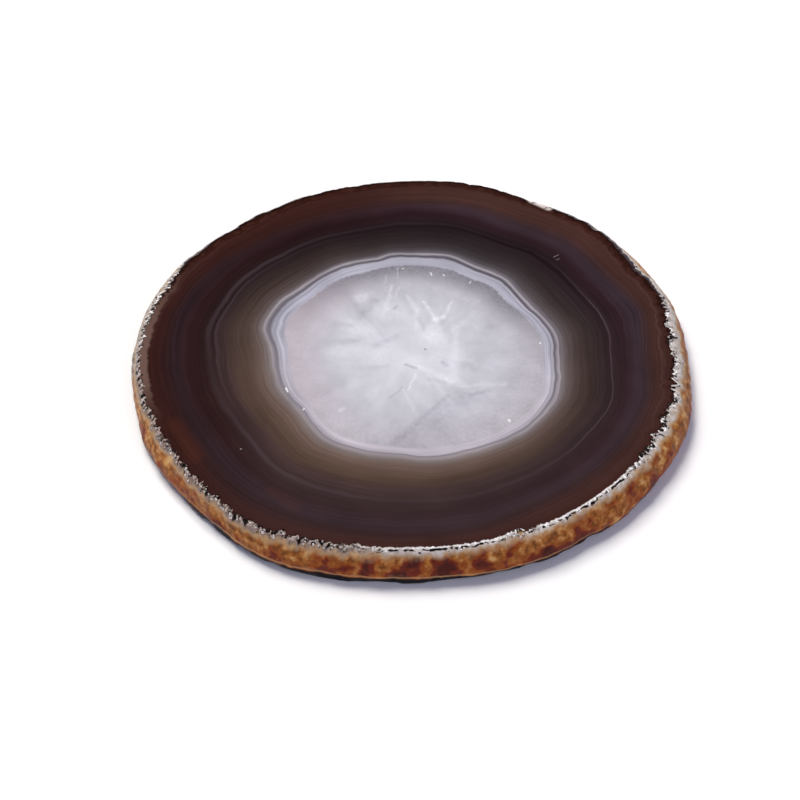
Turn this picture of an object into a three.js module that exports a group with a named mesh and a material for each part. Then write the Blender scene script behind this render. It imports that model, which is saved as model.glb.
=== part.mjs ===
// An agate slice used as a coaster: one slab sawn across a stone nodule and polished on both faces,
// with the nodule's rough rind left round its edge.
// Millimetres, +Z up. The origin is the middle of the slice's outline, on the face that it rests on.
import * as THREE from "three";

// Driving dimensions
const overallWidth = 70;
const thickness = 5;
// From the middle of the agate's rings to the edge of the polished face, every 15 degrees from +X towards +Y.
const faceRadii = [
  32.9, 33.3, 32.8, 33.1, 32.1, 32.3, 31.8, 31.8, 32.1, 32.4, 33.3, 33.8,
  34.1, 33.9, 33.4, 33.8, 33.6, 32.3, 31.6, 31.7, 32.1, 32.3, 32.8, 33.3,
];
// How far the rind's belly stands out past the polished face, at the same places.
const bellyWidths = [
  2.2, 2.0, 2.1, 1.5, 1.1, 1.0, 1.0, 1.0, 1.1, 1.2, 1.5, 1.7,
  1.0, 1.1, 1.3, 0.5, 1.0, 1.7, 1.9, 1.9, 2.0, 2.2, 2.2, 2.2,
];
// How far the foot of the edge stands out, at the same places. It is undercut where the value is below zero.
const footWidths = [
  1.3, 1.1, 0.8, 0.5, 0.4, 0.4, 0.3, 0.3, 0.4, 0.5, 0.6, 0.7,
  0.6, 0.5, 0.0, -0.8, -0.5, 0.2, 0.3, 0.3, 0.4, 1.1, 1.2, 1.3,
];
// The edge's section from the lower face up to the polished one: share of the belly, of the thickness, of the foot.
const edgeSection = [
  [0, 0, 1],
  [0.62, 0.1, 0.4],
  [0.95, 0.24, 0.05],
  [1, 0.42, 0],
  [0.86, 0.6, 0],
  [0.62, 0.78, 0],
  [0.34, 0.92, 0],
  [0, 1, 0],
];

// The rind's relief: smooth bumps of each size, standing in or out of its surface by each height.
const lumps = { size: 6.5, height: 0.22, seed: 3 };
const knobs = { size: 2.3, height: 0.14, seed: 8 };
// The sawn edges are chipped: bites of about each size, up to each depth.
const upperChips = { size: 1.5, depth: 0.45, seed: 21 };
const lowerChips = { size: 2.2, depth: 0.4, seed: 34 };
// The chips fade out at this distance from their face, as a share of the thickness.
const chipReach = 0.3;

// How finely the edge is faceted, round it and up it
const columns = 288;
const rows = 13;

// A repeatable number from 0 to 1 for a cell of the edge.
function cellNumber(column, row, seed) {
  const wave = Math.sin(column * 127.1 + row * 311.7 + seed * 74.7) * 43758.5453;
  return wave - Math.floor(wave);
}

// Smooth bumps from -1 to 1 on cells of one size, which meet where the edge closes on itself.
function bumps(turn, height, { size, seed }) {
  const cellsAround = Math.round((Math.PI * overallWidth) / size);
  const across = turn * cellsAround;
  const up = height / size;
  const column = Math.floor(across);
  const row = Math.floor(up);
  const corner = (i, j) => cellNumber((column + i) % cellsAround, row + j, seed);
  const shareAcross = THREE.MathUtils.smoothstep(across - column, 0, 1);
  const shareUp = THREE.MathUtils.smoothstep(up - row, 0, 1);
  const lower = THREE.MathUtils.lerp(corner(0, 0), corner(1, 0), shareAcross);
  const upper = THREE.MathUtils.lerp(corner(0, 1), corner(1, 1), shareAcross);
  return 2 * THREE.MathUtils.lerp(lower, upper, shareUp) - 1;
}

// How deep the chips bite at a turn of the edge.
function bite(turn, chips) {
  return Math.max(0, bumps(turn, 0, chips)) * chips.depth;
}

// The rough relief at a place on the edge, out from its smooth section.
function relief(turn, share) {
  const height = share * thickness;
  const fadeAtFaces = Math.min(1, 5 * share, 5 * (1 - share));
  const rough = lumps.height * bumps(turn, height, lumps) + knobs.height * bumps(turn, height, knobs);
  const upperBite = bite(turn, upperChips) * THREE.MathUtils.smoothstep(share, 1 - chipReach, 1);
  const lowerBite = bite(turn, lowerChips) * THREE.MathUtils.smoothstep(1 - share, 1 - chipReach, 1);
  return rough * fadeAtFaces - upperBite - lowerBite;
}

// A value at any turn, 0 to 1, on a smooth closed curve through evenly spaced values.
function aroundEdge(values, turn) {
  const place = turn * values.length;
  const start = Math.floor(place);
  const at = (step) => values[(start + step + values.length) % values.length];
  const share = place - start;
  const slopeIn = (at(1) - at(-1)) / 2;
  const slopeOut = (at(2) - at(0)) / 2;
  const bend = 3 * (at(1) - at(0)) - 2 * slopeIn - slopeOut;
  const twist = 2 * (at(0) - at(1)) + slopeIn + slopeOut;
  return at(0) + share * (slopeIn + share * (bend + share * twist));
}

// The closed slab: a lathe of lower face, edge and polished face, whose round section is then drawn out
// to the slice's own outline.
function sliceGeometry() {
  const section = new THREE.CatmullRomCurve3(edgeSection.map((values) => new THREE.Vector3(...values)));
  const side = section.getPoints(rows);
  const outline = side.map((point) => new THREE.Vector2(1 + point.x, point.y));
  const profile = [new THREE.Vector2(0, 0), ...outline, new THREE.Vector2(0, 1)];
  const geometry = new THREE.LatheGeometry(profile, columns);
  const position = geometry.getAttribute("position");
  for (let column = 0; column <= columns; column++) {
    const turn = (column % columns) / columns;
    const angle = 2 * Math.PI * turn;
    const axisVertex = column * profile.length;
    position.setXYZ(axisVertex, 0, 0, 0);
    position.setXYZ(axisVertex + profile.length - 1, 0, 0, thickness);
    side.forEach((point, row) => {
      const share = THREE.MathUtils.clamp(point.y, 0, 1);
      const belly = point.x * aroundEdge(bellyWidths, turn);
      const foot = point.z * aroundEdge(footWidths, turn);
      const radius = aroundEdge(faceRadii, turn) + belly + foot + relief(turn, share);
      position.setXYZ(axisVertex + 1 + row, radius * Math.cos(angle), radius * Math.sin(angle), share * thickness);
    });
  }
  geometry.computeVertexNormals();
  return geometry;
}

function agateSlice() {
  const geometry = sliceGeometry();
  geometry.computeBoundingBox();
  const middle = geometry.boundingBox.getCenter(new THREE.Vector3());
  const size = geometry.boundingBox.getSize(new THREE.Vector3());
  geometry.translate(-middle.x, -middle.y, 0);
  geometry.scale(overallWidth / size.x, overallWidth / size.x, 1);
  const stone = new THREE.MeshStandardMaterial({ color: "#4a3430", roughness: 0.25, metalness: 0 });
  const slice = new THREE.Mesh(geometry, stone);
  slice.name = "agate_slice";
  return slice;
}

const coaster = new THREE.Group();
coaster.add(agateSlice());

export default coaster;
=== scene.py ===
# A slice of banded agate with a quartz heart, polished on both faces, its rough rind left round the edge.
import math
import random
import bpy
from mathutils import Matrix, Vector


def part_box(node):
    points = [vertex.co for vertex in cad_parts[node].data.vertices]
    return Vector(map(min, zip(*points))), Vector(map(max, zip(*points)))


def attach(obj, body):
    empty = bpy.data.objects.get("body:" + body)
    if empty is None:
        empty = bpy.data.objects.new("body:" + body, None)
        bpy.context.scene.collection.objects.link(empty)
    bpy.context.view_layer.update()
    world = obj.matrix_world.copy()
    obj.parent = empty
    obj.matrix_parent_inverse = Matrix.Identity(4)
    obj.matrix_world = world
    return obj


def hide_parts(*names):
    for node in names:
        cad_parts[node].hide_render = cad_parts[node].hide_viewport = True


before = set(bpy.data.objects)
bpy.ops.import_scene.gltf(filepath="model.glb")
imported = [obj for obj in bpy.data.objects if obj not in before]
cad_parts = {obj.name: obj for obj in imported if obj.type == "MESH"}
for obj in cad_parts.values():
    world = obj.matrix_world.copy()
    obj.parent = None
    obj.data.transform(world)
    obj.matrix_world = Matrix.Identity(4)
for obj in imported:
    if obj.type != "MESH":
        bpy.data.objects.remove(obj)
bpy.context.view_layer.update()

mm = 0.001


# Colours are written as they look on the stone in full light.
def paint(hexCode):
    channels = [int(hexCode[i:i + 2], 16) / 255 for i in (0, 2, 4)]
    return (*[c / 12.92 if c <= 0.04045 else ((c + 0.055) / 1.055) ** 2.4 for c in channels], 1.0)


def feed(tree, socket, value):
    if isinstance(value, bpy.types.NodeSocket):
        tree.links.new(value, socket)
    else:
        socket.default_value = value


def addNode(tree, kind, inputs=None, **settings):
    made = tree.nodes.new(kind)
    for name, value in settings.items():
        setattr(made, name, value)
    for name, value in (inputs or {}).items():
        feed(tree, made.inputs[name], value)
    return made


def calc(tree, operation, *values, clamp=False):
    made = addNode(tree, "ShaderNodeMath", operation=operation)
    for socket, value in zip(made.inputs, values):
        feed(tree, socket, value)
    if clamp:     # a node of its own, as Cycles would put the tick box's off till last and run out of room
        made = addNode(tree, "ShaderNodeClamp", {"Value": made.outputs[0]})
    return made.outputs[0]


def times(tree, *values, clamp=False):
    return calc(tree, "MULTIPLY", *values, clamp=clamp)


def timesPlus(tree, value, factor, base):
    return calc(tree, "MULTIPLY_ADD", value, factor, base)


def oneMinus(tree, value):
    return calc(tree, "SUBTRACT", 1.0, value)


def around(tree, grain, amount, base=1.0):     # a value that a noise moves up and down
    return timesPlus(tree, calc(tree, "SUBTRACT", grain, 0.5), amount, base)


def vectorCalc(tree, operation, *values, result="Vector", **named):
    made = addNode(tree, "ShaderNodeVectorMath", operation=operation)
    for socket, value in zip(made.inputs, values):
        feed(tree, socket, value)
    for name, value in named.items():
        feed(tree, made.inputs[name], value)
    return made.outputs[result]


def towards(tree, heading, way):     # 1 where the heading goes that way, -1 where it goes the other way
    return vectorCalc(tree, "DOT_PRODUCT", heading, way, result="Value")


def lifted(tree, place, height):
    up = addNode(tree, "ShaderNodeCombineXYZ", {"Z": height}).outputs[0]
    return vectorCalc(tree, "ADD", place, up)


def fade(tree, value, low, high):     # 0 at low, 1 at high, smooth between
    made = addNode(tree, "ShaderNodeMapRange", interpolation_type="SMOOTHSTEP")
    for name, given in (("Value", value), ("From Min", low), ("From Max", high)):
        feed(tree, made.inputs[name], given)
    return made.outputs["Result"]


def bandAt(tree, value, middle, halfWidth):     # 1 on the middle of a band, 0 past its edges
    away = calc(tree, "ABSOLUTE", calc(tree, "SUBTRACT", value, middle))
    return oneMinus(tree, fade(tree, away, 0.0, halfWidth))


def allAxes(tree, value):
    return addNode(tree, "ShaderNodeCombineXYZ", {axis: value for axis in "XYZ"}).outputs[0]


def tint(tree, factor, first, second, mode="MIX"):     # a colour may be given as its hex code
    made = addNode(tree, "ShaderNodeMix", data_type="RGBA", blend_type=mode)
    for index, value in ((0, factor), (6, first), (7, second)):
        feed(tree, made.inputs[index], paint(value) if isinstance(value, str) else value)
    return made.outputs[2]


def shaded(tree, colour, shade):     # a colour times a grey value
    return tint(tree, 1.0, colour, allAxes(tree, shade), "MULTIPLY")


def rampOf(tree, value, stops):     # stops are (place, colour), from low to high
    low, high = stops[0][0], stops[-1][0]
    share = addNode(tree, "ShaderNodeMapRange", {"Value": value, "From Min": low, "From Max": high},
                    clamp=False)
    made = addNode(tree, "ShaderNodeValToRGB", {"Fac": share.outputs["Result"]})
    elements = made.color_ramp.elements
    elements[0].color, elements[1].color = paint(stops[0][1]), paint(stops[-1][1])
    for place, hexCode in stops[1:-1]:
        elements.new((place - low) / (high - low)).color = paint(hexCode)
    return made.outputs["Color"]


def grainOf(tree, place, scale, detail=2.0, roughness=0.5):
    made = addNode(tree, "ShaderNodeTexNoise", {
        "Vector": place, "Scale": scale, "Detail": detail, "Roughness": roughness})
    return made.outputs["Fac"]


def attributeOf(tree, name):
    return addNode(tree, "ShaderNodeAttribute", attribute_name=name).outputs["Fac"]


# The slice, in millimetres, every 15 degrees from +X towards +Y. Its form is the CAD part's, but for the
# foot, which stands out a little further to carry its painted shadow, and the teeth.
sliceShape = {
    "thickness": 5, "width": 70,
    "faceRadii": [
        32.9, 33.3, 32.8, 33.1, 32.1, 32.3, 31.8, 31.8, 32.1, 32.4, 33.3, 33.8,
        34.1, 33.9, 33.4, 33.8, 33.6, 32.3, 31.6, 31.7, 32.1, 32.3, 32.8, 33.3],
    "bellyWidths": [
        2.2, 2, 2.1, 1.5, 1.1, 1, 1, 1, 1.1, 1.2, 1.5, 1.7,
        1, 1.1, 1.3, 0.5, 1, 1.7, 1.9, 1.9, 2, 2.2, 2.2, 2.2],
    "footWidths": [
        1.3, 1.1, 0.8, 0.5, 0.4, 0.4, 0.3, 0.3, 0.4, 0.5, 0.6, 0.7,
        0.6, 0.5, 0.35, 0.25, 0.55, 1.25, 1.3, 1, 0.85, 1.2, 1.2, 1.3],
    "edgeSection": [     # share of the belly, of the thickness, of the foot
        (0, 0, 1), (0.62, 0.1, 0.4), (0.95, 0.24, 0.05), (1, 0.42, 0),
        (0.86, 0.6, 0), (0.62, 0.78, 0), (0.34, 0.92, 0), (0, 1, 0)],
    "lumps": (6.5, 0.22, 3), "knobs": (2.3, 0.14, 8),     # size, height, seed
    "upperChips": (1.5, 0.45, 21), "lowerChips": (2.2, 0.4, 34), "chipReach": 0.3,
    "teeth": (0.5, 0.5, 55), "bigTeeth": (1.1, 0.35, 71), "toothReach": 0.13,
    "columns": 1080, "wallRows": 33,
    "upperRings": [4, 8, 12, 16, 16.8, 17.6, 18.05, 19.3, 21, 22.8, 24.6, 26, 27.3, 29, 30.4],
    "lowerRings": [8, 16, 17.6, 18.05, 21, 24.6, 27.3, 29],
    "upperGaps": [1.2, 0.7, 0.4, 0.2], "lowerGaps": [1.2, 0.5],     # last rows of a face, in from its edge
}

# How far the stone's rings lie from their middle, every 15 degrees or at the angle given.
ringShape = {
    "quartzEdge": [
        (0, 16.5), (10, 16.6), (20, 16.2), (30, 15.7), (38, 15.4), (45, 15.7), (50, 16), (60, 15.7),
        (70, 15.9), (80, 16.1), (90, 16), (100, 16.1), (110, 15.9), (120, 16.2), (140, 16.3),
        (150, 16.6), (158, 16.9), (165, 16.5), (170, 16.1), (175, 15.6), (182, 15.3), (200, 15.4),
        (213, 15.1), (225, 15.6), (240, 16), (260, 15.6), (285, 15.9), (305, 16.5), (320, 17.1),
        (338, 17.3), (350, 16.8)],
    "darkRing": [
        (0, 17.9), (10, 18.05), (20, 17.6), (30, 17), (40, 17.1), (48, 17.6), (55, 17.55),
        (62, 17.35), (74, 17.95), (90, 17.65), (98, 17.8), (105, 17.4), (120, 17.95), (140, 18),
        (150, 18.6), (155, 18.75), (165, 18.75), (170, 18), (175, 17.3), (180, 16.9), (190, 16.85),
        (200, 16.8), (215, 16.3), (225, 16.9), (233, 17.4), (250, 17), (265, 16.7), (277, 17.2),
        (295, 17.4), (310, 18), (320, 18.5), (338, 18.8), (346, 18.45), (353, 18.1)],
    "lightRing": [
        (0, 24.85), (10, 25.1), (20, 24.6), (27, 24.2), (40, 24.3), (50, 24.3), (58, 23.6), (75, 23.9),
        (90, 23.8), (105, 23.5), (120, 24.1), (135, 24.6), (147, 25.4), (160, 25.6), (170, 26),
        (180, 25.3), (195, 24.8), (208, 24.3), (218, 24.4), (230, 25.2), (240, 24.9), (255, 24.4),
        (270, 24.2), (285, 24.3), (300, 24.4), (315, 24.8), (330, 25.2), (342, 25.8), (352, 25.1)],
    "bandInside": [
        27.4, 27.8, 26.9, 26.9, 26, 26.6, 26.6, 26.2, 26.8, 27.3, 28, 28.7,
        28.4, 28, 27.6, 28, 28.1, 27.3, 27, 26.9, 27, 27.6, 28, 27.8],
    "bandOutside": [
        29.2, 30, 28.6, 28.8, 27.8, 27.9, 27.5, 27.3, 27.6, 28.2, 29.8, 30.6,
        30.3, 29.9, 29.7, 30, 29.6, 29.2, 28.9, 29, 28.4, 28.9, 29.5, 30],
    "paleRingGap": 0.45,     # from the dark ring round the quartz to the pale one
    "edgeRing": 32.8,     # the number of the ring at the sawn edge
}

# How the stone looks round its edge and its rings, every 15 degrees or at the angle given.
lookShape = {
    "stripWidth": [     # the white chipped strip, down the edge
        1.7, 1.9, 1.5, 1.2, 1, 0.8, 0.7, 0.7, 0.7, 0.8, 1, 1.2,
        1.2, 1.1, 1, 1.1, 1.1, 1.15, 1.2, 0.95, 0.8, 0.95, 1.1, 1.3],
    "darkBorder": [     # the dark chipped border, in on the face
        0.35, 0.7, 0.9, 1, 1, 0.9, 0.9, 1, 1.1, 1.2, 0.8, 0.2,
        0.05, 0.05, 0.15, 0.3, 0.3, 0.15, 0.1, 0.08, 0.08, 0.05, 0.15, 0.3],
    "ragged": [
        (0, 0.55), (20, 0.5), (45, 0.35), (75, 0.22), (120, 0.2), (145, 0.35), (165, 0.5), (190, 0.5),
        (205, 0.45), (220, 0.7), (245, 0.7), (256, 0.4), (266, 0.28), (285, 0.22), (290, 0.35),
        (295, 0.5), (300, 0.25), (306, 0.1), (319, 0.1), (326, 0.45), (335, 0.65), (348, 0.6)],
    "blue": [
        0.55, 0.7, 0.7, 0.55, 0.5, 0.35, 0.3, 0.25, 0.3, 0.45, 0.7, 0.9,
        1, 1, 0.85, 0.65, 0.45, 0.3, 0.2, 0.25, 0.3, 0.35, 0.45, 0.5],
    "lightLine": [
        0.7, 0.8, 0.6, 0.3, 0.2, 0.2, 0.25, 0.25, 0.4, 0.6, 0.7, 0.6,
        0.3, 0.35, 0.5, 0.55, 0.4, 0.3, 0.25, 0.25, 0.3, 0.4, 0.6, 0.7],
    "darkLine": [
        0.1, 0.1, 0.6, 1, 1, 0.7, 0.5, 0.5, 0.6, 0.3, 0.2, 0.4,
        0.3, 0.1, 0.1, 0.1, 0.1, 0.1, 0.1, 0.1, 0.1, 0.1, 0.1, 0.1],
    "fineLines": [
        0.9, 1, 1, 0.7, 0.5, 0.4, 0.4, 0.5, 0.7, 0.9, 1, 1,
        0.9, 0.7, 0.7, 0.6, 0.4, 0.3, 0.3, 0.3, 0.4, 0.5, 0.6, 0.8],
    "paleSkin": [     # a pale polished strip just inside the edge
        (0, 0), (145, 0), (155, 0.2), (167, 0.6), (180, 0.8), (188, 0.7), (196, 0.15), (203, 0),
        (300, 0)],
    "skinLine": [     # and a thin pale line
        0.5, 0.6, 0.6, 0.3, 0.2, 0.1, 0.1, 0.2, 0.3, 0.4, 0.4, 0.2,
        0, 0, 0, 0, 0, 0, 0, 0, 0, 0, 0.1, 0.3],
    "iceBand": [     # the bluish band between the quartz and the thin dark ring
        0.7, 0.8, 0.9, 0.9, 0.9, 0.9, 0.9, 0.9, 0.95, 1, 1, 0.9,
        0.6, 0.35, 0.15, 0, 0, 0, 0, 0, 0, 0, 0.1, 0.4],
    "footDark": [     # where the foot of the rind is painted nearly black: painted shadow under the overhanging belly
        0.2, 0.1, 0, 0, 0, 0, 0, 0, 0, 0, 0.2, 0.4,
        0.6, 0.6, 0.5, 1, 1, 1, 1, 1, 0.85, 0.5, 0.2, 0.2],
    "redness": [
        0.3, 0.3, 0.4, 0.4, 0.5, 0.6, 0.6, 0.6, 0.5, 0.4, 0.3, 0.2,
        0.2, 0.3, 0.55, 0.35, 0.4, 0.8, 0.9, 0.8, 0.8, 0.75, 0.55, 0.4],
    "crust": [     # grey speckled crust in place of the orange rind
        0.1, 0, 0.1, 0.1, 0.2, 0.1, 0, 0.1, 0.2, 0.4, 0.8, 1,
        0.7, 0.35, 0.1, 0, 0, 0, 0, 0, 0, 0, 0, 0],
}


def ease(share):
    share = min(1.0, max(0.0, share))
    return share * share * (3 - 2 * share)


# A repeatable number from 0 to 1 for a cell of the edge.
def cellNumber(column, row, seed):
    wave = math.sin(column * 127.1 + row * 311.7 + seed * 74.7) * 43758.5453
    return wave - math.floor(wave)


# Smooth bumps from -1 to 1 on cells of one size, which meet where the edge closes on itself.
def bumps(turn, height, size, seed):
    cellsAround = round(math.pi * sliceShape["width"] / size)
    across, up = turn * cellsAround, height / size
    column, row = math.floor(across), math.floor(up)
    shareAcross, shareUp = ease(across - column), ease(up - row)
    sides = []
    for step in (0, 1):
        first = cellNumber(column % cellsAround, row + step, seed)
        second = cellNumber((column + 1) % cellsAround, row + step, seed)
        sides.append(first + (second - first) * shareAcross)
    return 2 * (sides[0] + (sides[1] - sides[0]) * shareUp) - 1


# The rough relief at a place on the edge, as in the CAD part, with smaller chips where the edge is clean.
def relief(turn, share, ragged):
    height = share * sliceShape["thickness"]
    rough = 0
    for size, depth, seed in (sliceShape["lumps"], sliceShape["knobs"]):
        rough += depth * bumps(turn, height, size, seed)
    bites = 0
    for name, along, amount in (("upperChips", share, min(1, 2 * ragged)), ("lowerChips", 1 - share, 1)):
        size, depth, seed = sliceShape[name]
        fadeIn = ease((along - 1 + sliceShape["chipReach"]) / sliceShape["chipReach"])
        bites += max(0, bumps(turn, 0, size, seed)) * depth * fadeIn * amount
    return rough * min(1, 5 * share, 5 * (1 - share)) - bites


# Sharp teeth that the saw left along the upper edge, deeper where the edge is ragged.
def toothDepth(turn, share, ragged):
    depth = 0
    for size, height, seed in (sliceShape["teeth"], sliceShape["bigTeeth"]):
        depth += max(0, bumps(turn, 0, size, seed)) * height
    return depth * ragged * ease((share - 1 + sliceShape["toothReach"]) / sliceShape["toothReach"])


# A smooth step from one value to the next, with their neighbours' slopes.
def smoothBetween(share, before, first, second, after):
    slopeIn, slopeOut = (second - before) / 2, (after - first) / 2
    bend = 3 * (second - first) - 2 * slopeIn - slopeOut
    twist = 2 * (first - second) + slopeIn + slopeOut
    return first + share * (slopeIn + share * (bend + share * twist))


# A smooth closed curve through values, evenly spaced or as (angle, value).
def aroundRing(values, turn):
    count = len(values)
    if not isinstance(values[0], tuple):
        place = turn % 1 * count
        start = math.floor(place)
        return smoothBetween(place - start, *[values[(start + step) % count] for step in (-1, 0, 1, 2)])
    degrees = turn % 1 * 360
    start = max(i for i in range(count) if values[i][0] <= degrees)
    (a0, v0), (a1, v1), (a2, v2), (a3, v3) = [
        (values[i % count][0] + 360 * (i // count), values[i % count][1])
        for i in range(start - 1, start + 3)]
    before = v2 - 2 * (v2 - v0) * (a2 - a1) / (a2 - a0)
    after = v1 + 2 * (v3 - v1) * (a2 - a1) / (a3 - a1)
    return smoothBetween((degrees - a1) / (a2 - a1), before, v1, v2, after)


def sectionAt(share):
    points = sliceShape["edgeSection"]
    place = share * (len(points) - 1)
    start = min(len(points) - 2, math.floor(place))
    nearby = [points[min(len(points) - 1, max(0, start + step))] for step in (-1, 0, 1, 2)]
    belly, up, foot = [smoothBetween(place - start, *four) for four in zip(*nearby)]
    return belly, min(1.0, max(0.0, up)), foot


# One column of the slice, from near the middle of its lower face, round the edge, to the upper face.
# Each row is (radius, share of the thickness, ring, distance from the sawn edge, rough, chipped).
def sliceColumn(turn, look):
    thickness = sliceShape["thickness"]
    dark = aroundRing(ringShape["darkRing"], turn)
    knots = [
        (0, 0), (16, aroundRing(ringShape["quartzEdge"], turn)), (17.6, dark),
        (18.05, dark + ringShape["paleRingGap"]), (24.6, aroundRing(ringShape["lightRing"], turn)),
        (27.3, aroundRing(ringShape["bandInside"], turn)), (29, aroundRing(ringShape["bandOutside"], turn))]
    face, belly, foot = [
        aroundRing(sliceShape[name], turn) for name in ("faceRadii", "bellyWidths", "footWidths")]
    edgeRing = ringShape["edgeRing"]
    wall = []
    for row in range(sliceShape["wallRows"] + 1):
        bellyShare, up, footShare = sectionAt(row / sliceShape["wallRows"])
        smooth = face + bellyShare * belly + footShare * foot
        wall.append((smooth + relief(turn, up, look["ragged"]) - toothDepth(turn, up, look["ragged"]), up))

    def faceRows(rings, gaps, edge, up):
        ends = knots + [(edgeRing, edge)]
        rows = []
        for ring in rings:
            (n0, r0), (n1, r1) = [pair for pair in zip(ends, ends[1:]) if pair[0][0] < ring][-1]
            radius = r0 + (r1 - r0) * (ring - n0) / (n1 - n0)
            rows.append((radius, up, ring, radius - edge, 0, 0))
        for gap in gaps:
            ring = edgeRing - gap * (edgeRing - knots[-1][0]) / (edge - knots[-1][1])
            rows.append((edge - gap, up, ring, -gap, 0, 0))
        return rows

    rows = faceRows(sliceShape["lowerRings"], sliceShape["lowerGaps"], wall[0][0], 0)
    path = [0]
    for (r0, u0), (r1, u1) in zip(wall, wall[1:]):
        path.append(path[-1] + math.hypot(r1 - r0, (u1 - u0) * thickness))
    for (radius, up), climbed in zip(wall, path):
        rough = min(1, 6 * up, 6 * (1 - up))
        fromEdge = min(climbed, path[-1] - climbed)
        chipped = ease((0.95 - fromEdge) / 0.4) if up > 0.5 else 0
        rows.append((radius, up, edgeRing, fromEdge, rough, chipped))
    return rows + faceRows(sliceShape["upperRings"], sliceShape["upperGaps"], wall[-1][0], 1)[::-1]


def agateSlice():
    columns, thickness = sliceShape["columns"], sliceShape["thickness"]
    points, faces, roundFaces = [], [], []
    values = {name: [] for name in ("ring", "fromEdge", "share", "rough", "chipped", *lookShape)}
    for column in range(columns):
        turn = column / columns
        look = {name: aroundRing(given, turn) for name, given in lookShape.items()}
        rows = sliceColumn(turn, look)
        for radius, up, ring, fromEdge, rough, chipped in rows:
            angle = 2 * math.pi * turn
            points.append((radius * math.cos(angle), radius * math.sin(angle), up * thickness))
            chipped *= ease((look["ragged"] - 0.2) / 0.35) * ease((0.9 - look["darkBorder"]) / 0.3)
            row = dict(ring=ring, fromEdge=fromEdge, share=up, rough=rough, chipped=chipped, **look)
            for name, value in row.items():
                values[name].append(value)
    count = len(rows)
    poles = len(points), len(points) + 1
    points += [(0, 0, 0), (0, 0, thickness)]
    for name, given in values.items():     # the two middle points
        given += [given[0], given[count - 1]]
    values["ring"][-2:] = 0, 0
    values["fromEdge"][-2:] = -32, -32
    firstWall = len(sliceShape["lowerRings"]) + len(sliceShape["lowerGaps"])
    for column in range(columns):
        here, there = column * count, (column + 1) % columns * count
        faces.append((poles[0], there, here))
        faces.append((poles[1], here + count - 1, there + count - 1))
        roundFaces += [False, False]
        for row in range(count - 1):
            faces.append((here + row, there + row, there + row + 1, here + row + 1))
            roundFaces.append(firstWall <= row < firstWall + sliceShape["wallRows"])

    # the slice's middle goes to the origin, and its width is the CAD part's
    low = [min(point[axis] for point in points) for axis in (0, 1)]
    high = [max(point[axis] for point in points) for axis in (0, 1)]
    middle = [(a + b) / 2 for a, b in zip(low, high)]
    boxLow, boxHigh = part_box("agate_slice")
    fit = (boxHigh[0] - boxLow[0]) / (high[0] - low[0])
    points = [((x - middle[0]) * fit, (y - middle[1]) * fit, z * mm) for x, y, z in points]
    mesh = bpy.data.meshes.new("agateSlice")
    mesh.from_pydata(points, [], faces)
    mesh.polygons.foreach_set("use_smooth", roundFaces)
    for name, given in values.items():
        mesh.attributes.new(name, "FLOAT", "POINT").data.foreach_set("value", given)
    mesh.validate()
    piece = bpy.data.objects.new("agateSlice", mesh)
    bpy.context.scene.collection.objects.link(piece)
    return piece, [-middle[0] * fit, -middle[1] * fit]


def inputOf(tree, name, kind, value=None, direction="INPUT"):
    made = tree.interface.new_socket(name=name, in_out=direction, socket_type=kind)
    if value is not None:
        made.default_value = value
    return made.identifier


def startTree(name, sizes):     # a geometry tree with named inputs, and the identifiers that set them
    tree = bpy.data.node_groups.new(name, "GeometryNodeTree")
    inputOf(tree, "Geometry", "NodeSocketGeometry")
    inputOf(tree, "Geometry", "NodeSocketGeometry", direction="OUTPUT")
    sockets = {}
    for label, value in sizes.items():
        kind = "NodeSocketInt" if isinstance(value, int) else "NodeSocketFloat"
        sockets[label] = inputOf(tree, label, kind, value)
    sockets["Material"] = inputOf(tree, "Material", "NodeSocketMaterial")
    return tree, sockets, tree.nodes.new("NodeGroupInput"), tree.nodes.new("NodeGroupOutput")


# Runs a geometry tree on a piece and keeps the result as a plain mesh on a new object.
def applyTree(piece, tree, sockets, sizes, material, name):
    modifier = piece.modifiers.new(tree.name, "NODES")
    modifier.node_group = tree
    for label, value in sizes.items():
        modifier[sockets[label]] = value
    modifier[sockets["Material"]] = material
    depsgraph = bpy.context.evaluated_depsgraph_get()
    mesh = bpy.data.meshes.new_from_object(piece.evaluated_get(depsgraph), depsgraph=depsgraph)
    piece.modifiers.remove(modifier)
    mesh.name = name
    made = bpy.data.objects.new(name, mesh)
    bpy.context.scene.collection.objects.link(made)
    return made


def finishTree(tree, geometry, given, out):
    real = addNode(tree, "GeometryNodeRealizeInstances", {"Geometry": geometry})
    dressed = addNode(tree, "GeometryNodeSetMaterial", {
        "Geometry": real.outputs[0], "Material": given.outputs["Material"]})
    feed(tree, out.inputs["Geometry"], dressed.outputs[0])


def named(tree, name):
    return addNode(tree, "GeometryNodeInputNamedAttribute", {"Name": name}).outputs["Attribute"]


# The rind's small relief: soft knobs, finer grains, and sharp ridges where the edge is chipped.
rindShape = {
    "Knob size": 0.0013, "Knob height": 0.00022, "Grain size": 0.00045, "Grain height": 0.00006,
    "Ridge size": 0.0005, "Ridge height": 0.0002, "Seed": 12,
}


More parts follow.
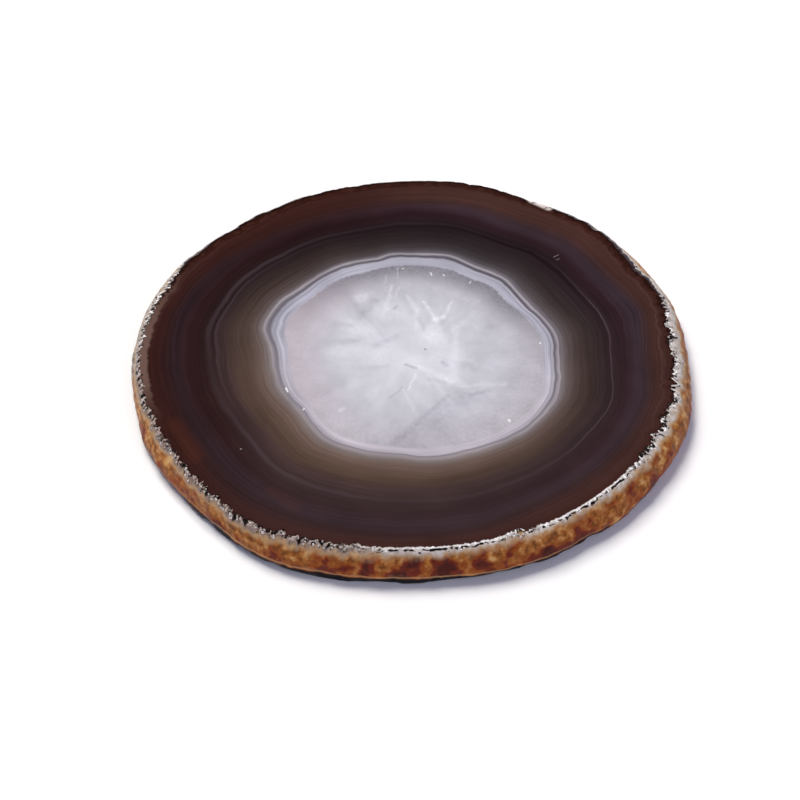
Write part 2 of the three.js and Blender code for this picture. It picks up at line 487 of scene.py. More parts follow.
def rindRelief():
    tree, sockets, given, out = startTree("rindRelief", rindShape)
    position = tree.nodes.new("GeometryNodeInputPosition").outputs[0]
    rough, chipped = named(tree, "rough"), named(tree, "chipped")

    def bumpsOf(size, height, mask, seedStep, kind="ShaderNodeTexNoise"):
        scale = calc(tree, "DIVIDE", 1.0, given.outputs[size])
        seed = calc(tree, "ADD", given.outputs["Seed"], seedStep)
        if kind == "ShaderNodeTexNoise":
            made = addNode(tree, kind, {"Vector": position, "W": seed, "Scale": scale, "Detail": 2.0},
                           noise_dimensions="4D")
            value = times(tree, calc(tree, "SUBTRACT", made.outputs["Fac"], 0.5), 2.0)
        else:
            made = addNode(tree, kind, {"Vector": position, "W": seed, "Scale": scale},
                           voronoi_dimensions="4D")
            value = calc(tree, "SUBTRACT", 0.45, made.outputs["Distance"])
        high = times(tree, given.outputs[height], mask)
        return times(tree, value, high)

    knobs = bumpsOf("Knob size", "Knob height", rough, 0.0)
    grains = bumpsOf("Grain size", "Grain height", rough, 3.0)
    ridges = bumpsOf("Ridge size", "Ridge height", chipped, 6.0, "ShaderNodeTexVoronoi")
    total = calc(tree, "ADD", calc(tree, "ADD", knobs, grains), ridges)
    normal = tree.nodes.new("GeometryNodeInputNormal").outputs[0]
    outward = vectorCalc(tree, "NORMALIZE", vectorCalc(tree, "MULTIPLY", normal, (1, 1, 0)))
    offset = vectorCalc(tree, "SCALE", outward, Scale=total)
    moved = addNode(tree, "GeometryNodeSetPosition", {
        "Geometry": given.outputs["Geometry"], "Offset": offset})
    finishTree(tree, moved.outputs[0], given, out)
    return tree, sockets


# Broken bits of quartz along the sawn upper edge, cut off level with the polished face.
crystalShape = {
    "Crystals per square metre": 0.3e7, "Smallest": 0.0001, "Largest": 0.00028,
    "Face height": 0.005, "Seed": 5,
}


def edgeCrystals():
    tree, sockets, given, out = startTree("edgeCrystals", crystalShape)
    density = times(tree, given.outputs["Crystals per square metre"], named(tree, "chipped"))
    spread = addNode(tree, "GeometryNodeDistributePointsOnFaces", {
        "Mesh": given.outputs["Geometry"], "Density": density, "Seed": given.outputs["Seed"]})
    bit = addNode(tree, "GeometryNodeMeshIcoSphere", {"Radius": 1.0, "Subdivisions": 1})

    def randomBetween(low, high, seedStep):
        made = addNode(tree, "FunctionNodeRandomValue", data_type="FLOAT_VECTOR")
        feed(tree, made.inputs[0], low)
        feed(tree, made.inputs[1], high)
        feed(tree, made.inputs["Seed"], calc(tree, "ADD", given.outputs["Seed"], seedStep))
        return made.outputs[0]
    sizes = [allAxes(tree, given.outputs[label]) for label in ("Smallest", "Largest")]
    placed = addNode(tree, "GeometryNodeInstanceOnPoints", {
        "Points": spread.outputs["Points"], "Instance": bit.outputs["Mesh"],
        "Rotation": randomBetween((0, 0, 0), (6.283, 6.283, 6.283), 1),
        "Scale": randomBetween(sizes[0], sizes[1], 2)})
    real = addNode(tree, "GeometryNodeRealizeInstances", {"Geometry": placed.outputs[0]})
    position = tree.nodes.new("GeometryNodeInputPosition").outputs[0]
    axes = addNode(tree, "ShaderNodeSeparateXYZ", {"Vector": position})
    level = addNode(tree, "ShaderNodeCombineXYZ", {
        "X": axes.outputs["X"], "Y": axes.outputs["Y"],
        "Z": calc(tree, "MINIMUM", axes.outputs["Z"], given.outputs["Face height"])})
    cut = addNode(tree, "GeometryNodeSetPosition", {
        "Geometry": real.outputs[0], "Position": level.outputs[0]})
    flat = addNode(tree, "GeometryNodeSetShadeSmooth", {"Geometry": cut.outputs[0], "Shade Smooth": False})
    finishTree(tree, flat.outputs[0], given, out)
    return tree, sockets


# A soft stroke on the face: a veil, crack or fleck from one point to another, in millimetres.
def softStroke():
    tree = bpy.data.node_groups.new("softStroke", "ShaderNodeTree")
    for label in ("Place", "Start", "Along"):
        inputOf(tree, label, "NodeSocketVector")
    for label in ("Start width", "End width", "Softness", "Strength"):
        inputOf(tree, label, "NodeSocketFloat")
    inputOf(tree, "Value", "NodeSocketFloat", direction="OUTPUT")
    given, out = tree.nodes.new("NodeGroupInput").outputs, tree.nodes.new("NodeGroupOutput")
    away = vectorCalc(tree, "SUBTRACT", given["Place"], given["Start"])
    reach = vectorCalc(tree, "DOT_PRODUCT", given["Along"], given["Along"], result="Value")
    walked = vectorCalc(tree, "DOT_PRODUCT", away, given["Along"], result="Value")
    share = calc(tree, "DIVIDE", walked, reach, clamp=True)
    nearest = vectorCalc(tree, "SCALE", given["Along"], Scale=share)
    distance = vectorCalc(tree, "DISTANCE", away, nearest, result="Value")
    taper = calc(tree, "SUBTRACT", given["End width"], given["Start width"])
    width = timesPlus(tree, share, taper, given["Start width"])
    inner = times(tree, width, oneMinus(tree, given["Softness"]))
    outer = times(tree, width, calc(tree, "ADD", 1.0, given["Softness"]))
    edge = oneMinus(tree, fade(tree, distance, inner, outer))
    feed(tree, out.inputs["Value"], times(tree, edge, given["Strength"]))
    return tree


strokeGroup = softStroke()


# The sum of strokes, each (x, y, x, y, start width, end width, strength) and its softness if not the usual.
def strokesOf(tree, place, strokes):
    total = None
    for x0, y0, x1, y1, startWidth, endWidth, strength, *softness in strokes:
        made = addNode(tree, "ShaderNodeGroup", node_tree=strokeGroup)
        for label, value in (("Place", place), ("Start", (x0, y0, 0)), ("Along", (x1 - x0, y1 - y0, 0)),
                             ("Start width", startWidth), ("End width", endWidth),
                             ("Softness", *(softness or [0.95])), ("Strength", strength)):
            feed(tree, made.inputs[label], value)
        value = made.outputs["Value"]
        total = value if total is None else calc(tree, "ADD", total, value)
    return total


# The quartz heart, in millimetres from the middle of the rings.
quartzLook = {
    "milk": [
        (0, "cfd0d6"), (5, "cbcbd2"), (8, "c5c5cb"), (10, "bfbfc6"), (13, "b7b4bb"), (15, "b3afb6"),
        (16, "afabb1")],
    "fibres": 8, "rayMiddle": (1.8, -0.6, 0),
    "white": "f0eff4", "grey": "827e8b", "shadow": "6d6b73", "pink": "c6b4be",
    "veils": [
        (1.5, 9.4, 3.05, 6.45, 0.16, 0.34, 0.34), (5.1, 9.4, 4.1, 6.75, 0.12, 0.3, 0.28),
        (4.1, 6.75, 3.05, 6.3, 0.3, 0.36, 0.28), (3.05, 6.3, 2.6, 3.5, 0.3, 1.3, 0.22),
        (2.6, 3.5, 4, -0.5, 1.3, 1, 0.16), (5.5, 5, 5.4, -3, 0.35, 0.5, 0.2),
        (1, -2, 5, -4.2, 0.3, 0.6, 0.3, 0.9), (-0.5, 10.5, 0.7, 8, 0.2, 0.4, 0.22),
        (0.7, 8, 0.6, 4.5, 0.4, 0.15, 0.22), (-3.2, 14.2, -3.3, 12.5, 0.08, 0.06, 0.16, 0.9),
        (-1.7, 15.7, -1.7, 13.5, 0.08, 0.06, 0.2, 0.9), (-2.5, 12.2, -3.2, 8, 0.18, 0.3, 0.24),
        (-1.5, 12, -2.2, 10, 0.12, 0.1, 0.16, 0.9), (-6.6, 10.1, -6.1, 10.4, 0.65, 0.6, 0.28),
        (-8, 4.5, -5.2, 4.6, 1.2, 1.1, 0.26), (-3.2, 7.6, -2, 7.6, 1.3, 1.2, 0.24),
        (-10, 0.6, -4, 0.4, 0.9, 1.1, 0.16), (-7.4, -4.9, -7, -4.7, 0.7, 0.7, 0.12),
        (6.2, -5.2, 11.5, -4.8, 0.2, 0.35, 0.18), (0.5, -3.2, -0.4, -5.9, 0.2, 0.12, 0.32, 0.9),
        (-5, -1.2, 0.5, -0.6, 0.9, 1.3, 0.14), (-8.6, -9.3, -8.4, -9.1, 0.35, 0.3, 0.25)],
    "shades": [
        (-0.7, -1.5, 0.5, -2.15, 0.2, 0.18, 0.4), (1.75, 1.1, 1.77, 1, 0.08, 0.08, 0.9, 0.8),
        (-1.2, -5.5, -2.8, -7.4, 0.12, 0.1, 0.25), (5.9, -7, -0.2, -15.4, 1.6, 2, 0.22),
        (4.4, -6.8, -2.2, -14.8, 0.3, 0.5, 0.2), (7.2, -6.6, 9.6, -6, 0.4, 0.3, 0.22),
        (-1.8, 3.4, -4.4, 1.7, 0.4, 0.4, 0.18), (-2.1, 8.2, -1.9, 8.5, 0.2, 0.2, 0.4),
        (-9.5, 5.5, -7.5, 5.3, 0.5, 0.4, 0.2), (-8.5, 2.4, -6, 3, 0.45, 0.35, 0.12),
        (-4.5, 9.7, -6.5, 6.7, 0.5, 0.4, 0.18), (2.2, -4, 4, -4.7, 0.25, 0.25, 0.15),
        (4, -1.2, 4.2, -1.5, 0.35, 0.3, 0.3), (8.4, 4.5, 8.4, -3, 1.9, 1.9, 0.07, 0.5),
        (0.9, 6.6, 1.6, 4.6, 0.3, 0.25, 0.18), (-7, -2.2, -3, -1.8, 0.4, 0.3, 0.12)],
    "glints": [
        (11.9, -10.9, 12, -11.1, 0.14, 0.12, 0.85, 0.8), (16.1, 2.1, 16.1, 2.2, 0.1, 0.1, 0.8, 0.8),
        (-15.5, -5.6, -15.3, -6.2, 0.12, 0.08, 0.8, 0.8), (-13.2, -9, -13.3, -9.2, 0.1, 0.1, 0.6, 0.8),
        (-1, 15.4, -1.1, 15.4, 0.09, 0.09, 0.6, 0.8), (2.5, 14.6, 2.6, 14.2, 0.1, 0.08, 0.7, 0.8),
        (4.1, 14.25, 4.2, 14.1, 0.09, 0.09, 0.6, 0.8), (7.6, 13.1, 7.4, 12.7, 0.08, 0.07, 0.5, 0.8),
        (18.3, 17.5, 18.9, 17.9, 0.08, 0.05, 0.12, 0.9), (18.6, 17, 19, 17.2, 0.06, 0.05, 0.12, 0.9),
        (-20.8, -15.7, -20.7, -15.7, 0.06, 0.06, 0.35, 0.8)],
}


def fibres(seed):     # faint strokes that run inwards from the quartz's edge
    chance = random.Random(seed)
    strokes = []
    for _ in range(quartzLook["fibres"]):
        turn = chance.uniform(0, 2 * math.pi)
        bend = turn + chance.uniform(-0.25, 0.25)
        far, near = chance.uniform(8, 14), chance.uniform(3, 7)
        ends = far * math.cos(turn), far * math.sin(turn), near * math.cos(bend), near * math.sin(bend)
        strokes.append((*ends, chance.uniform(0.2, 0.6), 0.15, chance.uniform(0.05, 0.12)))
    return strokes


def quartzColour(tree, flat, ring, heading):
    veilGrain = addNode(tree, "ShaderNodeTexNoise", {"Vector": flat, "Scale": 0.7, "Detail": 1.5})
    sway = vectorCalc(tree, "SUBTRACT", veilGrain.outputs["Color"], (0.5, 0.5, 0.5))
    swayed = vectorCalc(tree, "MULTIPLY_ADD", sway, (0.6, 0.6, 0.0), flat)
    reach = vectorCalc(tree, "LENGTH", flat, result="Value")
    outward = vectorCalc(tree, "NORMALIZE", vectorCalc(tree, "SUBTRACT", swayed, quartzLook["rayMiddle"]))
    rays = vectorCalc(tree, "SCALE", outward, Scale=6.0)
    rayPlace = lifted(tree, rays, times(tree, reach, 0.16))
    rayGrain = grainOf(tree, rayPlace, 1.0, 4.0, 0.6)
    cloud = grainOf(tree, swayed, 0.28, 3.0)
    sugar = grainOf(tree, flat, 2.3, 2.0)
    milk = rampOf(tree, ring, quartzLook["milk"])
    cloudShade = around(tree, cloud, 0.45)
    rayAmount = times(tree, fade(tree, reach, 3.0, 9.0), 0.26)
    rayShade = around(tree, rayGrain, rayAmount)
    sugarAmount = times(tree, fade(tree, reach, 9.0, 15.0), 0.3)
    sugarShade = around(tree, sugar, sugarAmount)
    shade = times(tree, times(tree, cloudShade, rayShade), sugarShade)
    milk = shaded(tree, milk, shade)
    north = towards(tree, heading, (0.1, 0.995, 0.0))
    west = towards(tree, heading, (-1.0, 0.0, 0.0))
    crescent = times(tree, fade(tree, ring, 12.0, 15.9), fade(tree, north, -0.05, 0.8))
    crescent = times(tree, crescent, timesPlus(tree, sugar, 0.8, 0.4), clamp=True)
    milk = tint(tree, times(tree, crescent, 0.9), milk, quartzLook["shadow"])
    pink = times(tree, fade(tree, reach, 9.0, 14.0), fade(tree, west, 0.3, 0.95))
    milk = tint(tree, times(tree, pink, 0.25), milk, quartzLook["pink"])
    wisps = timesPlus(tree, grainOf(tree, flat, 1.5, 3.0, 0.65), 2.6, -0.3)
    veil = times(tree, strokesOf(tree, swayed, quartzLook["veils"] + fibres(1)), wisps, clamp=True)
    milk = tint(tree, veil, milk, quartzLook["white"])
    dusk = times(tree, strokesOf(tree, swayed, quartzLook["shades"] + fibres(2)), wisps, clamp=True)
    return tint(tree, dusk, milk, quartzLook["grey"])


# The rings round the quartz: one set of colours where the stone stays grey, one where light glows in it.
ringLook = {
    "greySide": [
        (15, "b2acb4"), (16.8, "aaa5ad"), (17.4, "a19da6"), (18.05, "807a80"), (18.4, "6a646a"),
        (19, "4c4548"), (20, "3c3537"), (20.8, "332a2c"), (22, "2a2223"), (24, "24191d"),
        (25.2, "281a1e"), (26.4, "2a191e"), (27.3, "332329"), (28.2, "3a282c"), (29, "3c2829"),
        (30, "432a24"), (31.2, "442b25"), (33, "30150f")],
    "glowSide": [
        (15, "c0bac2"), (16.8, "bcb5bd"), (17.4, "aca5ac"), (18.05, "857c7c"), (18.6, "746863"),
        (19.3, "6b584f"), (20.2, "5f4c42"), (21, "554338"), (22, "4b3a32"), (23, "433331"),
        (24, "3e2f2e"), (25.2, "382a2a"), (26.4, "332425"), (27.3, "352629"), (28.2, "38292c"),
        (29, "342628"), (30, "332222"), (31, "3b2522"), (33, "3c231e")],
    "glowHeading": (0.4226, 0.9063, 0),     # away from the side where light glows in the stone
    "darkRing": ("47434c", "756f77"), "paleRing": ("b3adb4", "a29a9b"), "blueBand": "33292f",
    "lightLine": "5c5057", "darkLine": "150d0e", "iceBlue": "a5a5b3", "deepRed": "d8bcb6", "dusk": "e0e0e0",
    "paleSkin": "72594f", "rustSkin": "5a2e1c", "skinLine": "644846",
    "rustStrokes": [
        (-29, -11.6, -26.2, -16.8, 0.9, 0.9, 0.25), (-17, -22.5, -14, -25, 0.6, 0.8, 0.15)],
}


# Ring numbers: 16 the quartz's edge, 17.6 the dark ring, 24.6 the light line, 32.8 the sawn edge.
def ringColour(tree, flat, ring, heading, look):
    glow = timesPlus(tree, towards(tree, heading, ringLook["glowHeading"]), -0.5, 0.5)
    greySide, glowSide = [rampOf(tree, ring, ringLook[side]) for side in ("greySide", "glowSide")]
    colour = tint(tree, glow, greySide, glowSide)
    ice = times(tree, look["iceBand"], oneMinus(tree, fade(tree, ring, 17.15, 17.4)))
    colour = tint(tree, times(tree, ice, 0.85), colour, ringLook["iceBlue"])
    blue = times(tree, bandAt(tree, ring, 28.15, 1.3), look["blue"])
    colour = tint(tree, blue, colour, ringLook["blueBand"])
    # fine rings, drawn by a noise that hardly changes round the stone
    slow = vectorCalc(tree, "SCALE", heading, Scale=1.3)
    ringPlace = lifted(tree, slow, times(tree, ring, 3.2))
    fine = grainOf(tree, ringPlace, 1.0, 3.0, 0.65)
    amount = timesPlus(tree, look["fineLines"], 0.9, 0.35)
    fineShade = around(tree, fine, amount)
    patches = grainOf(tree, flat, 0.16, 2.0)
    colour = shaded(tree, colour, times(tree, fineShade, around(tree, patches, 0.5)))
    # darker and redder on the left and behind
    deep = towards(tree, heading, (-0.94, 0.342, 0.0))
    deep = times(tree, fade(tree, deep, 0.1, 0.8), fade(tree, ring, 22.0, 26.0))
    colour = tint(tree, deep, colour, ringLook["deepRed"], "MULTIPLY")
    north = towards(tree, heading, (-0.42, 0.9075, 0.0))
    middleRings = times(tree, fade(tree, ring, 18.0, 18.8), oneMinus(tree, fade(tree, ring, 23.5, 26.0)))
    colour = tint(tree, times(tree, fade(tree, north, 0.4, 0.95), middleRings), colour,
                  ringLook["dusk"], "MULTIPLY")
    east = fade(tree, towards(tree, heading, (0.966, 0.259, 0.0)), 0.2, 0.8)
    soft = times(tree, bandAt(tree, ring, 24.6, 0.5), oneMinus(tree, east))
    crisp = times(tree, bandAt(tree, ring, 24.7, 0.18), east)
    light = times(tree, timesPlus(tree, soft, 0.45, times(tree, crisp, 0.6)), look["lightLine"])
    second = times(tree, bandAt(tree, ring, 23.7, 0.35), times(tree, look["crust"], 0.25))
    colour = tint(tree, calc(tree, "MAXIMUM", light, second), colour, ringLook["lightLine"])
    thin = bandAt(tree, ring, 24.12, 0.34)
    dark = calc(tree, "MAXIMUM", thin, times(tree, bandAt(tree, ring, 24.6, 1.5), 0.5))
    colour = tint(tree, times(tree, dark, look["darkLine"]), colour, ringLook["darkLine"])
    broken = timesPlus(tree, patches, 1.2, 0.2)
    pale = times(tree, bandAt(tree, ring, 18.06, 0.2), timesPlus(tree, look["iceBand"], 0.35, 0.4))
    paleColour = tint(tree, glow, ringLook["paleRing"][0], ringLook["paleRing"][1])
    colour = tint(tree, times(tree, pale, broken, clamp=True), colour, paleColour)
    sideways = calc(tree, "ABSOLUTE", towards(tree, heading, (1.0, 0.0, 0.0)))
    inner = times(tree, bandAt(tree, ring, 17.0, 0.16), times(tree, fade(tree, sideways, 0.3, 0.8), 0.4))
    west = fade(tree, towards(tree, heading, (-0.966, -0.259, 0.0)), 0.5, 0.85)
    darkWidth = timesPlus(tree, west, 0.24, timesPlus(tree, look["iceBand"], 0.18, 0.24))
    darkRing = bandAt(tree, ring, timesPlus(tree, west, -0.1, 17.6), darkWidth)
    darkRing = times(tree, darkRing, timesPlus(tree, look["iceBand"], 0.25, 0.7))
    darkColour = tint(tree, glow, ringLook["darkRing"][0], ringLook["darkRing"][1])
    colour = tint(tree, calc(tree, "MAXIMUM", darkRing, inner), colour, darkColour)
    rust = calc(tree, "MINIMUM", strokesOf(tree, flat, ringLook["rustStrokes"]), 1.0)
    colour = tint(tree, rust, colour, ringLook["rustSkin"])
    skin = times(tree, fade(tree, look["fromEdge"], -1.25, -0.75), look["paleSkin"])
    colour = tint(tree, skin, colour, ringLook["paleSkin"])
    line = times(tree, bandAt(tree, look["fromEdge"], -1.3, 0.35), times(tree, look["skinLine"], 0.35))
    colour = tint(tree, line, colour, ringLook["skinLine"])
    return colour


# The chipped strip and the rind under it.
rindLook = {
    "edgeRadius": 33.0,
    "border": "30150d", "borderFleck": "44241b", "borderEdge": "1a0c08",
    "speck": "140d0b", "bevelHighlight": "f2ede9", "westStrip": "b4a49c", "westHeading": (-0.77, -0.64, 0.0),
    "strip": [(0.34, "998e84"), (0.44, "b1a79d"), (0.52, "c1b8b0"), (0.62, "d3cbc4"), (0.74, "ebe6e1")],
    "cream": "b89a72", "rind": [(0.36, "6a3a10"), (0.46, "8c5119"), (0.55, "a8692b"), (0.68, "c99c60")],
    # foot: a near-black painted shadow along the lowest part of the rind
    "orange": "8e4108", "redBlob": "631704", "redCore": "3a0802", "foot": "070403", "footLine": "c39a66",
    "glint": "faf8f6", "farChip": "e0d2cb", "chips": [(17.9, 26.65, 15.7, 28.0, 0.45, 0.4, 1.0, 0.7)],
    "crust": [(0.3, "352a26"), (0.45, "7b6d62"), (0.58, "a99c8e"), (0.75, "d8cdc0")],
}


# A place in the edge's own lengthways and downward directions, each with its own fineness.
def alongEdge(tree, heading, fromEdge, lengthways, downward):
    along = vectorCalc(tree, "SCALE", heading, Scale=rindLook["edgeRadius"] * lengthways)
    return lifted(tree, along, times(tree, fromEdge, downward))


def stripColour(tree, place, heading, fromEdge):
    streaks = grainOf(tree, alongEdge(tree, heading, fromEdge, 2.3, 0.8), 1.0, 2.0, 0.6)
    clouds = grainOf(tree, place, 1.1, 3.0, 0.6)
    return rampOf(tree, timesPlus(tree, clouds, 0.5, times(tree, streaks, 0.5)), rindLook["strip"])


def rindColour(tree, place, look):
    colour = rampOf(tree, grainOf(tree, place, 1.0, 3.0, 0.55), rindLook["rind"])
    blobs = grainOf(tree, place, 0.42, 2.5, 0.6)
    reddish = timesPlus(tree, look["redness"], 0.2, blobs)
    lower = timesPlus(tree, look["share"], -0.3, reddish)
    for low, high, strength, hexCode in (
            (0.36, 0.5, 0.85, "orange"), (0.48, 0.55, 0.88, "redBlob"), (0.56, 0.66, 0.8, "redCore")):
        mask = times(tree, fade(tree, lower, low, high), strength)
        colour = tint(tree, mask, colour, rindLook[hexCode])
    crust = rampOf(tree, grainOf(tree, place, 2.0, 3.0, 0.65), rindLook["crust"])
    crustMask = fade(tree, timesPlus(tree, blobs, 0.5, look["crust"]), 0.6, 1.1)
    colour = tint(tree, crustMask, colour, crust)
    line = times(tree, bandAt(tree, look["share"], 0.3, 0.05), times(tree, look["footDark"], 0.6))
    colour = tint(tree, line, colour, rindLook["footLine"])
    # the lowest part of the rind painted near black: painted contact shadow under the belly
    foot = oneMinus(tree, fade(tree, look["share"], 0.22, 0.26))
    return tint(tree, times(tree, foot, look["footDark"]), colour, rindLook["foot"])


stoneFinish = {
    "roughness": (0.16, 0.5, 0.48),     # of the polished face, the strip and the rind
    "gloss": 0.16, "grainDepth": 0.00012, "grainStrength": 0.8, "glint": "f4f3f2",
}


def placeOn(tree, middle):     # millimetres from the middle of the rings
    source = addNode(tree, "ShaderNodeTexCoord").outputs["Object"]
    moved = addNode(tree, "ShaderNodeMapping", {
        "Vector": source, "Location": (-middle[0] / mm, -middle[1] / mm, 0), "Scale": (1 / mm,) * 3})
    return moved.outputs["Vector"]


def newMaterial(name, hexCode):
    material = bpy.data.materials.new(name)
    material.use_nodes = True
    material.diffuse_color = paint(hexCode)
    shader = material.node_tree.nodes["Principled BSDF"]
    return material, material.node_tree, shader


# The dark chipped border, with its flecks.
def borderColour(tree, heading, fromEdge, jagged):
    fleckPlace = alongEdge(tree, heading, fromEdge, 0.8, 1.6)
    flecks = fade(tree, grainOf(tree, fleckPlace, 1.0, 3.0, 0.6), 0.42, 0.7)
    border = tint(tree, flecks, rindLook["border"], rindLook["borderFleck"])
    nearEdge = times(tree, fade(tree, jagged, -0.7, -0.1), 0.7)
    return tint(tree, nearEdge, border, rindLook["borderEdge"])


# The white strip, with dashes and a painted highlight along its top where the edge is clean, and specks and
# painted glints where it is ragged.
def brokenStrip(tree, place, heading, look, jagged):
    fromEdge = look["fromEdge"]
    strip = stripColour(tree, place, heading, fromEdge)
    dashGrain = grainOf(tree, alongEdge(tree, heading, fromEdge, 1.6, 3.0), 1.0, 1.0)
    dashLine = timesPlus(tree, bandAt(tree, fromEdge, 0.36, 0.26), 0.2, dashGrain)
    dashes = fade(tree, dashLine, 0.65, 0.69)
    speckGrain = grainOf(tree, alongEdge(tree, heading, fromEdge, 2.2, 1.5), 1.0, 1.0)
    nearBorder = times(tree, bandAt(tree, jagged, 0.15, 0.65), 0.2)
    specks = fade(tree, calc(tree, "ADD", speckGrain, nearBorder), 0.66, 0.71)
    # painted glints: white specks of light on the chips of the strip
    shine = fade(tree, calc(tree, "SUBTRACT", nearBorder, speckGrain), -0.3, -0.22)
    strip = tint(tree, shine, strip, rindLook["glint"])
    rugged = fade(tree, look["ragged"], 0.28, 0.5)
    strip = tint(tree, tint(tree, rugged, dashes, specks), strip, rindLook["speck"])
    # a thin painted highlight along the top of the sawn edge, where the edge is clean
    bevelHighlight = times(tree, bandAt(tree, fromEdge, 0.07, 0.15), oneMinus(tree, rugged))
    strip = tint(tree, times(tree, bevelHighlight, 0.8), strip, rindLook["bevelHighlight"])
    west = fade(tree, towards(tree, heading, rindLook["westHeading"]), 0.55, 0.92)
    return tint(tree, west, strip, rindLook["westStrip"], "MULTIPLY")


# The edge over the face's colour, and the masks of all that lies past the sawn edge and of the rind.
def edgeColour(tree, place, flat, heading, look, colour):
    fromEdge = look["fromEdge"]
    toothPlace = alongEdge(tree, heading, fromEdge, 1.7, 0.8)
    toothGrain = calc(tree, "SUBTRACT", grainOf(tree, toothPlace, 1.0, 2.0, 0.6), 0.5)
    wideGrain = calc(tree, "SUBTRACT", grainOf(tree, place, 0.7, 2.0, 0.6), 0.5)
    jagged = timesPlus(tree, toothGrain, times(tree, look["ragged"], 3.2), fromEdge)
    upper = fade(tree, look["share"], 0.3, 0.4)
    farSide = fade(tree, look["darkBorder"], 0.6, 0.9)
    inner = calc(tree, "ADD", timesPlus(tree, wideGrain, 0.8, jagged), look["darkBorder"])
    border = borderColour(tree, heading, fromEdge, jagged)
    borderMask = fade(
        tree, inner, timesPlus(tree, farSide, -0.35, -0.12), timesPlus(tree, farSide, 0.3, 0.2))
    colour = tint(tree, borderMask, colour, border)
    strip = brokenStrip(tree, place, heading, look, jagged)
    stripMask = fade(tree, timesPlus(tree, farSide, -0.7, jagged), -0.1, 0.04)
    rind = rindColour(tree, place, look)
    past = calc(tree, "SUBTRACT", timesPlus(tree, wideGrain, 1.8, fromEdge), look["stripWidth"])
    rindMask = calc(tree, "MAXIMUM", fade(tree, past, -0.6, 0.25), oneMinus(tree, upper))
    cream = times(tree, oneMinus(tree, fade(tree, past, -0.1, 0.8)), 0.75)
    creamed = tint(tree, times(tree, cream, upper), rind, rindLook["cream"])
    colour = tint(tree, stripMask, colour, tint(tree, rindMask, strip, creamed))
    chip = strokesOf(tree, flat, rindLook["chips"])
    chip = times(tree, chip, fade(tree, grainOf(tree, place, 1.4, 2.0), 0.3, 0.5))
    colour = tint(tree, calc(tree, "MINIMUM", chip, 1.0), colour, rindLook["farChip"])
    return colour, stripMask, rindMask


def bandedStone(middle):
    material, tree, shader = newMaterial("bandedStone", "4a3430")
    place = placeOn(tree, middle)
    flat = vectorCalc(tree, "MULTIPLY", place, (1.0, 1.0, 0.0))
    heading = vectorCalc(tree, "NORMALIZE", flat)
    look = {name: attributeOf(tree, name) for name in ("share", "fromEdge", *lookShape)}
    wander = calc(tree, "SUBTRACT", grainOf(tree, flat, 0.33, 2.0), 0.5)
    wander = timesPlus(tree, wander, 0.5, attributeOf(tree, "ring"))
    quartz = quartzColour(tree, flat, wander, heading)
    rings = ringColour(tree, flat, wander, heading, look)
    sugarEdge = around(tree, grainOf(tree, flat, 1.9, 2.0), 0.5, wander)
    colour = tint(tree, fade(tree, sugarEdge, 15.8, 16.15), quartz, rings)
    # painted glints: small white highlights of light on crystal faces in the quartz
    glints = calc(tree, "MINIMUM", strokesOf(tree, flat, quartzLook["glints"]), 1.0)
    colour = tint(tree, glints, colour, stoneFinish["glint"])
    colour, stripMask, rindMask = edgeColour(tree, place, flat, heading, look, colour)
    feed(tree, shader.inputs["Base Color"], colour)

    matt = timesPlus(tree, fade(tree, grainOf(tree, place, 1.3), 0.3, 0.7), 0.16, -0.08)
    face, strip, rind = [(value,) * 3 + (1,) for value in stoneFinish["roughness"]]
    roughness = tint(tree, stripMask, face, tint(tree, rindMask, strip, rind))
    feed(tree, shader.inputs["Roughness"], timesPlus(tree, matt, stripMask, roughness))
    shader.inputs["Specular IOR Level"].default_value = stoneFinish["gloss"]
    height = times(tree, grainOf(tree, place, 3.4, 4.0, 0.65), stripMask)
    bump = addNode(tree, "ShaderNodeBump", {
        "Height": height, "Distance": stoneFinish["grainDepth"], "Strength": stoneFinish["grainStrength"]})
    feed(tree, shader.inputs["Normal"], bump.outputs["Normal"])
    return material


crystalFinish = {"gloss": 0.5, "grainDepth": 0.00004, "grainStrength": 0.4}


def chippedQuartz(middle):
    material, tree, shader = newMaterial("chippedQuartz", "d8d2cc")
    place = placeOn(tree, middle)
    heading = vectorCalc(tree, "NORMALIZE", vectorCalc(tree, "MULTIPLY", place, (1.0, 1.0, 0.0)))
    strip = stripColour(tree, place, heading, attributeOf(tree, "fromEdge"))
    dark = fade(tree, grainOf(tree, place, 2.4, 1.0), 0.53, 0.6)
    colour = tint(tree, times(tree, dark, 0.85), strip, rindLook["speck"])
    border = fade(tree, attributeOf(tree, "darkBorder"), 0.6, 0.85)
    feed(tree, shader.inputs["Base Color"], tint(tree, border, colour, rindLook["border"]))
    feed(tree, shader.inputs["Roughness"], timesPlus(tree, grainOf(tree, place, 2.0), 0.3, 0.12))
    shader.inputs["Specular IOR Level"].default_value = crystalFinish["gloss"]
    bump = addNode(tree, "ShaderNodeBump", {
        "Height": grainOf(tree, place, 5.0, 2.0),
        "Distance": crystalFinish["grainDepth"], "Strength": crystalFinish["grainStrength"]})
    feed(tree, shader.inputs["Normal"], bump.outputs["Normal"])
    return material


# Making the pieces
rawSlice, ringsMiddle = agateSlice()
stone, crystal = bandedStone(ringsMiddle), chippedQuartz(ringsMiddle)
tree, sockets = rindRelief()
agate = applyTree(rawSlice, tree, sockets, rindShape, stone, "agateSliceFinished")
bpy.data.objects.remove(rawSlice)
agate.name = agate.data.name = "agateSlice"
print("slice:", len(agate.data.polygons), "faces, middle of the rings at", ringsMiddle)
tree, sockets = edgeCrystals()
crystals = applyTree(agate, tree, sockets, crystalShape, crystal, "edgeCrystals")
print("edge crystals:", len(crystals.data.polygons), "faces")
for piece in (agate, crystals):
    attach(piece, "root")
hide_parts("agate_slice")


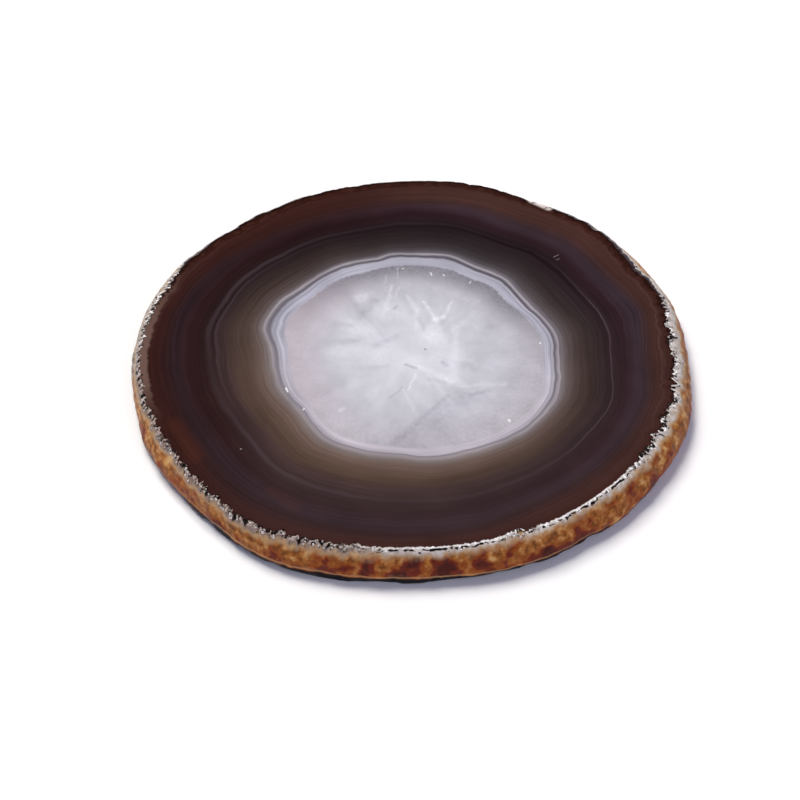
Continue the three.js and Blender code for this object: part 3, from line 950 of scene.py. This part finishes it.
# The studio: a plain white floor, a soft light behind on the left, a weak one in front, and pale walls.
studio = {
    "floorRadius": 2.5, "floorSides": 96, "floorDrop": 0.00004, "floorColour": "fafafb",
    "floorRoughness": 0.9, "floorGloss": 0.1,
    "wallStrength": 1.08, "overheadStrength": 0.16, "wallColour": (0.74, 0.73, 1.0, 1),
    "lights": [     # place in metres, size, watts, colour
        ("keyLight", (-0.34, 0.4, 1.07), 0.6, 14.1, (1.0, 0.98, 0.9)),
        ("fillLight", (0.5, -0.9, 0.9), 1.0, 4.6, (0.82, 0.82, 1.0)),
    ],
}


def aimAtStone(thing, place):
    thing.location = place
    thing.rotation_euler = (-thing.location).to_track_quat("-Z", "Y").to_euler()


def makeStudio():
    scene = bpy.context.scene
    mesh = bpy.data.meshes.new("studioFloor")
    count, radius = studio["floorSides"], studio["floorRadius"]
    turns = [2 * math.pi * i / count for i in range(count)]
    rim = [(radius * math.cos(turn), radius * math.sin(turn), -studio["floorDrop"]) for turn in turns]
    mesh.from_pydata(rim, [], [tuple(range(count))])
    floor = bpy.data.objects.new("studioFloor", mesh)
    scene.collection.objects.link(floor)
    material, tree, shader = newMaterial("studioFloor", studio["floorColour"])
    feed(tree, shader.inputs["Base Color"], paint(studio["floorColour"]))
    shader.inputs["Roughness"].default_value = studio["floorRoughness"]
    shader.inputs["Specular IOR Level"].default_value = studio["floorGloss"]
    mesh.materials.append(material)
    for name, place, size, watts, colour in studio["lights"]:
        data = bpy.data.lights.new(name, "AREA")
        data.shape, data.size, data.energy = "SQUARE", size, watts
        data.color = colour
        light = bpy.data.objects.new(name, data)
        aimAtStone(light, place)
        light.visible_glossy = name != "keyLight"     # no sheen from it on the polished face
        scene.collection.objects.link(light)

    world = bpy.data.worlds.new("studioWalls")
    world.use_nodes = True
    tree = world.node_tree
    background = tree.nodes["Background"]
    outward = addNode(tree, "ShaderNodeTexCoord").outputs["Generated"]
    up = addNode(tree, "ShaderNodeSeparateXYZ", {"Vector": outward})
    rise = fade(tree, up.outputs["Z"], 0.1, 0.5)
    walls, overhead = studio["wallStrength"], studio["overheadStrength"]
    strength = timesPlus(tree, rise, overhead - walls, walls)
    background.inputs["Color"].default_value = studio["wallColour"]
    feed(tree, background.inputs["Strength"], strength)
    scene.world = world
    scene.view_settings.view_transform = "Standard"


# The photograph's view: 47 degrees above the floor, from straight in front.
cameraSetup = {"place": (-0.001331, -0.287080, 0.305071), "tilt": 43.0, "lens": 150.0, "sensor": 36.0}


def makeCamera():
    data = bpy.data.cameras.new("camera")
    data.lens, data.sensor_width, data.clip_start = cameraSetup["lens"], cameraSetup["sensor"], 0.01
    camera = bpy.data.objects.new("camera", data)
    camera.location = cameraSetup["place"]
    camera.rotation_euler = (math.radians(cameraSetup["tilt"]), 0, 0)
    bpy.context.scene.collection.objects.link(camera)
    bpy.context.scene.camera = camera


makeStudio()
makeCamera()
print("studio and camera ready")
